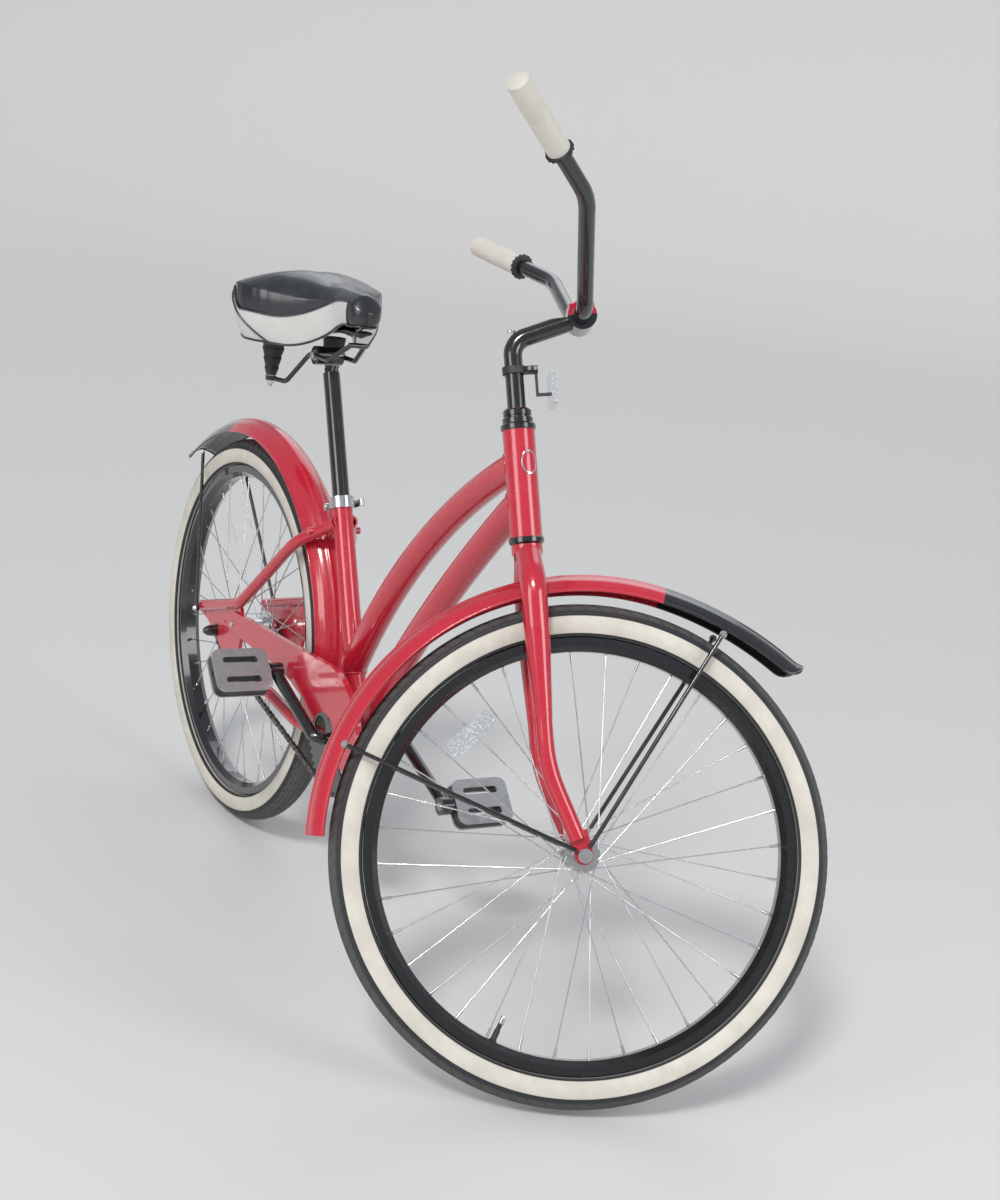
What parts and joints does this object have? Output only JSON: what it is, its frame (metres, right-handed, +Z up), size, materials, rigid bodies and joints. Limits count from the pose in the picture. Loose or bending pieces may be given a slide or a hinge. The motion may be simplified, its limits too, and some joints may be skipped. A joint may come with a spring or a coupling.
{
  "type": "single-rider step-through cruiser bicycle",
  "caption": "step-through cruiser bicycle with swept handlebar, sprung saddle, steel fenders, chain guard, coaster-brake rear hub and kickstand, bars turned as parked",
  "frame": {"origin": "the rear tyre's contact point with the ground, in the bicycle's middle plane", "axes": "+X forward along the wheelbase, +Y to the rider's left along the rear axle, +Z up"},
  "size_m": [1.5782, 0.6276, 1.3133],
  "materials": {
    "red_paint": "gloss clear-coated coral red paint",
    "black_paint": "gloss black paint",
    "bright_steel": "bright plated steel",
    "brushed_steel": "plain machined steel",
    "chain_steel": "oiled blued steel",
    "tyre_rubber": "black tread with a white sidewall band",
    "tube_rubber": "butyl rubber",
    "pedal_plastic": "black moulded plastic",
    "grip_rubber": "cream ribbed rubber with black flange rings",
    "reflector": "clear prismatic reflector",
    "saddle_cover": "padded black vinyl top with white side panels",
    "bracket_plastic": "black moulded plastic",
    "spring_steel": "black-painted spring wire in a rubber boot"
  },
  "bodies": {
    "frame": {"head_tube": "red_paint", "upper_tube": "red_paint", "down_tube": "red_paint", "seat_tube": "red_paint", "bottom_bracket_shell": "red_paint", "chainstays": "red_paint", "seatstays": "red_paint", "dropouts": "red_paint", "headset_cups": "black_paint", "seat_clamp": "bright_steel", "seat_clamp_skewer": "bright_steel", "rear_axle": "brushed_steel", "rear_axle_nuts": "black_paint", "brake_arm": "black_paint", "rear_fender": "red_paint", "rear_fender_tip": "black_paint", "rear_fender_stays": "black_paint", "chain_guard": "red_paint", "frame_screws": "bright_steel", "chain": "chain_steel", "bottom_bracket_cups": "brushed_steel", "kickstand_bracket": "black_paint"},
    "steering": {"fork": "red_paint", "headset_nuts": "black_paint", "front_axle": "brushed_steel", "front_fender": "red_paint", "front_fender_tip": "black_paint", "front_fender_stays": "black_paint", "stem": "black_paint", "stem_cap": "red_paint", "handlebar": "black_paint", "grips": "grip_rubber", "reflector_bracket": "bracket_plastic", "front_reflector": "reflector"},
    "front_wheel": {"front_hub": "bright_steel", "front_spokes": "bright_steel", "front_rim": "black_paint", "front_tyre": "tyre_rubber", "front_inner_tube": "tube_rubber", "spoke_reflector": "reflector"},
    "rear_wheel": {"rear_hub": "bright_steel", "rear_spokes": "bright_steel", "rear_rim": "black_paint", "rear_tyre": "tyre_rubber", "rear_inner_tube": "tube_rubber"},
    "driver": {"rear_sprocket": "chain_steel"},
    "crankset": {"crank": "black_paint", "chainring": "black_paint", "crank_cones": "brushed_steel", "pedal_spindles": "brushed_steel"},
    "right_pedal_body": {"right_pedal": "bright_steel", "right_pedal_core": "pedal_plastic"},
    "left_pedal_body": {"left_pedal": "bright_steel", "left_pedal_core": "pedal_plastic"},
    "kickstand": {"kickstand_leg": "black_paint"},
    "seat": {"seatpost": "black_paint", "saddle_frame": "black_paint", "saddle_springs": "spring_steel", "saddle_pad": "saddle_cover"},
    "quick_release": {"seat_lever": "bright_steel"}
  },
  "joints": [
    {"name": "steering_turn", "type": "hinge", "parent": "frame", "child": "steering", "pos_m": [0.84896, 0, 0.78278], "axis": [-0.3697, 0, 0.9291], "range_deg": [-144, 16]},
    {"name": "front_wheel_spin", "type": "hinge", "parent": "steering", "child": "front_wheel", "pos_m": [1.05013, 0.03595, 0.32469], "axis": [-0.8351, 0.4384, -0.3323], "continuous": true},
    {"name": "rear_wheel_spin", "type": "hinge", "parent": "frame", "child": "rear_wheel", "pos_m": [0, 0, 0.333], "axis": [0, 1, 0], "continuous": true},
    {"name": "crank_spin", "type": "hinge", "parent": "frame", "child": "crankset", "pos_m": [0.462, 0, 0.291], "axis": [0, 1, 0], "continuous": true},
    {"name": "driver_spin", "type": "hinge", "parent": "frame", "child": "driver", "pos_m": [0, 0, 0.333], "axis": [0, 1, 0], "continuous": true},
    {"name": "right_pedal_spin", "type": "hinge", "parent": "crankset", "child": "right_pedal_body", "pos_m": [0.30623, -0.144, 0.35393], "axis": [0, 1, 0], "continuous": true},
    {"name": "left_pedal_spin", "type": "hinge", "parent": "crankset", "child": "left_pedal_body", "pos_m": [0.61777, 0.136, 0.22807], "axis": [0, 1, 0], "continuous": true},
    {"name": "kickstand_fold", "type": "hinge", "parent": "frame", "child": "kickstand", "pos_m": [0.165, 0.084, 0.272], "axis": [0.1422, 0.9155, 0.3764], "range_deg": [0, 75]},
    {"name": "seat_height", "type": "slide", "parent": "frame", "child": "seat", "axis": [-0.3971, 0, 0.9178], "range_m": [-0.06, 0.02]},
    {"name": "quick_release_lever", "type": "hinge", "parent": "frame", "child": "quick_release", "pos_m": [0.291, 0.0195, 0.6207], "axis": [-0.3971, 0, 0.9178], "range_deg": [0, 100]}
  ],
  "couplings": [
    {"joint": "driver_spin", "follows": "crank_spin", "ratio": 2.4444}
  ]
}
